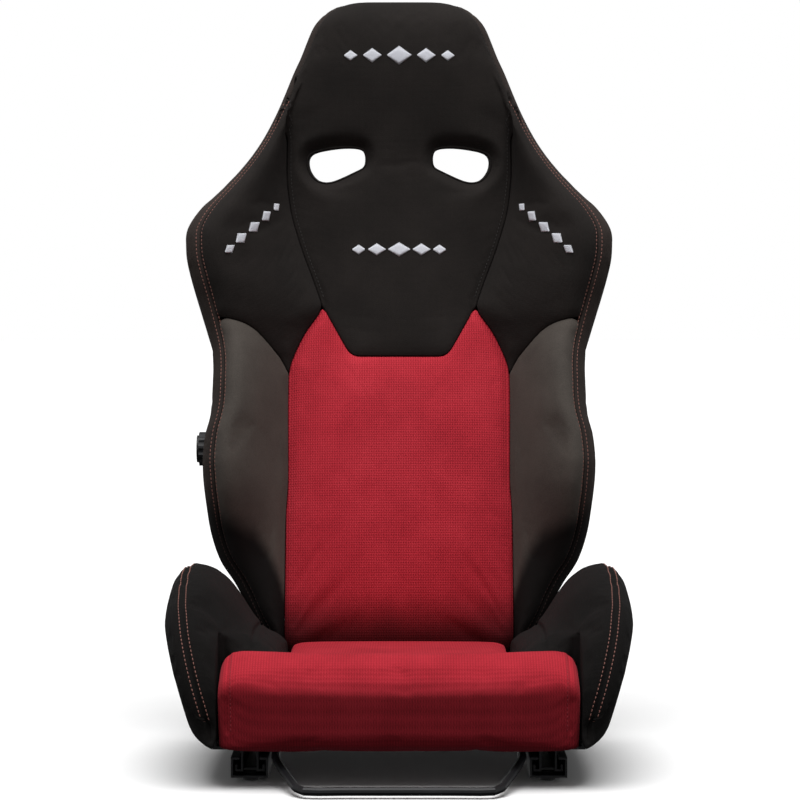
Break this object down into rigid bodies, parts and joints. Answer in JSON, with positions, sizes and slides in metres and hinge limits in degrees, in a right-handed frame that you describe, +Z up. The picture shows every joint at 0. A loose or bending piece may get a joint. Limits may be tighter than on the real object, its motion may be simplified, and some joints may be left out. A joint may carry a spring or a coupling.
{
  "type": "racing seat",
  "caption": "Reclining fabric bucket seat with harness slots, bolstered cushion, lumbar knob, recline lever and sliding rails with a towel bar.",
  "frame": {"origin": "middle of the footprint, on the plane of the four rail bosses", "axes": "+X to the sitter's left when seen from the front on the right, +Z up, the sitter faces -Y"},
  "size_m": [0.57, 0.6869, 0.9768],
  "materials": {
    "red_fabric": "ribbed woven fabric",
    "black_fabric": "black knit over foam",
    "charcoal_fabric": "smooth charcoal fabric over foam",
    "backing_fabric": "coarse backing cloth",
    "black_paint": "black powder coat",
    "zinc": "zinc plated",
    "spring_steel": "oiled spring steel",
    "black_plastic": "textured black plastic",
    "webbing": "elastic webbing"
  },
  "bodies": {
    "rails": {"lower_rail_right": "black_paint", "lower_rail_left": "black_paint"},
    "carriage": {"bar_bracket_left": "black_paint", "bar_bracket_right": "black_paint", "cross_tube_front": "black_paint", "cross_tube_rear": "black_paint", "cushion_bolster_left": "black_fabric", "cushion_bolster_right": "black_fabric", "cushion_front_roll": "red_fabric", "cushion_insert": "red_fabric", "rail_bolt_front_left": "zinc", "rail_bolt_front_right": "zinc", "rail_bolt_rear_left": "zinc", "rail_bolt_rear_right": "zinc", "rail_glide_left": "black_plastic", "rail_glide_right": "black_plastic", "recliner_cover_left": "black_plastic", "recliner_cover_right": "black_plastic", "recliner_disc_left": "black_paint", "recliner_disc_right": "black_paint", "return_spring_left": "spring_steel", "return_spring_right": "spring_steel", "seat_pan": "black_paint", "side_plate_left": "black_paint", "side_plate_right": "black_paint", "upper_rail_left": "black_paint", "upper_rail_right": "black_paint"},
    "towel_bar": {"towel_bar": "black_paint"},
    "latch_right": {"rail_latch_right": "zinc"},
    "latch_left": {"rail_latch_left": "zinc"},
    "recline_lever": {"sync_shaft": "zinc", "recline_lever": "black_paint", "lever_grip": "black_plastic", "lever_nut": "zinc"},
    "backrest": {"back_cover": "backing_fabric", "back_web_1": "webbing", "back_web_2": "webbing", "back_web_3": "webbing", "back_web_4": "webbing", "backrest_bolster_left": "charcoal_fabric", "backrest_bolster_right": "charcoal_fabric", "backrest_hoop": "black_paint", "backrest_insert": "red_fabric", "backrest_lower_tube": "black_paint", "backrest_shoulder_left": "black_fabric", "backrest_shoulder_right": "black_fabric", "backrest_upper_tube": "black_paint", "backrest_yoke": "black_fabric", "harness_slot_liner_left": "black_plastic", "harness_slot_liner_right": "black_plastic", "lumbar_bearing_left": "black_plastic", "lumbar_bearing_right": "black_plastic", "recliner_arm_left": "black_paint", "recliner_arm_right": "black_paint", "recliner_ratchet_left": "black_paint", "recliner_ratchet_right": "black_paint"},
    "lumbar_cam": {"lumbar_camshaft": "zinc", "lumbar_knob": "black_plastic"},
    "lumbar_paddle": {"lumbar_paddle": "black_plastic"}
  },
  "joints": [
    {"name": "seat_slide", "type": "slide", "parent": "rails", "child": "carriage", "axis": [0, -1, 0], "range_m": [-0.09, 0.09]},
    {"name": "bar_lift", "type": "hinge", "parent": "carriage", "child": "towel_bar", "pos_m": [0, -0.0875, 0.03], "axis": [-1, 0, 0], "range_deg": [0, 5], "stiffness_Nm_per_rad": 12, "springref_deg": -6.88},
    {"name": "latch_right_swing", "type": "hinge", "parent": "carriage", "child": "latch_right", "pos_m": [0.1522, -0.0355, 0.0356], "axis": [0, 1, 0], "range_deg": [0, 14]},
    {"name": "latch_left_swing", "type": "hinge", "parent": "carriage", "child": "latch_left", "pos_m": [-0.1522, -0.0355, 0.0356], "axis": [0, -1, 0], "range_deg": [0, 14]},
    {"name": "lever_lift", "type": "hinge", "parent": "carriage", "child": "recline_lever", "pos_m": [0, 0.1595, 0.15], "axis": [1, 0, 0], "range_deg": [0, 25], "stiffness_Nm_per_rad": 1.5, "springref_deg": -28.65},
    {"name": "recline", "type": "hinge", "parent": "carriage", "child": "backrest", "pos_m": [0, 0.1595, 0.15], "axis": [-1, 0, 0], "range_deg": [-15, 55]},
    {"name": "lumbar_turn", "type": "hinge", "parent": "backrest", "child": "lumbar_cam", "pos_m": [0, 0.22241, 0.37381], "axis": [-1, 0, 0], "range_deg": [0, 120]},
    {"name": "lumbar_push", "type": "slide", "parent": "backrest", "child": "lumbar_paddle", "axis": [0, -0.9781, 0.2079], "range_m": [0, 0.012]}
  ],
  "couplings": [
    {"joint": "latch_right_swing", "follows": "bar_lift", "ratio": 2.8},
    {"joint": "latch_left_swing", "follows": "bar_lift", "ratio": 2.8},
    {"joint": "lumbar_turn", "follows": "lumbar_push", "rad_per_m": 174.53}
  ]
}
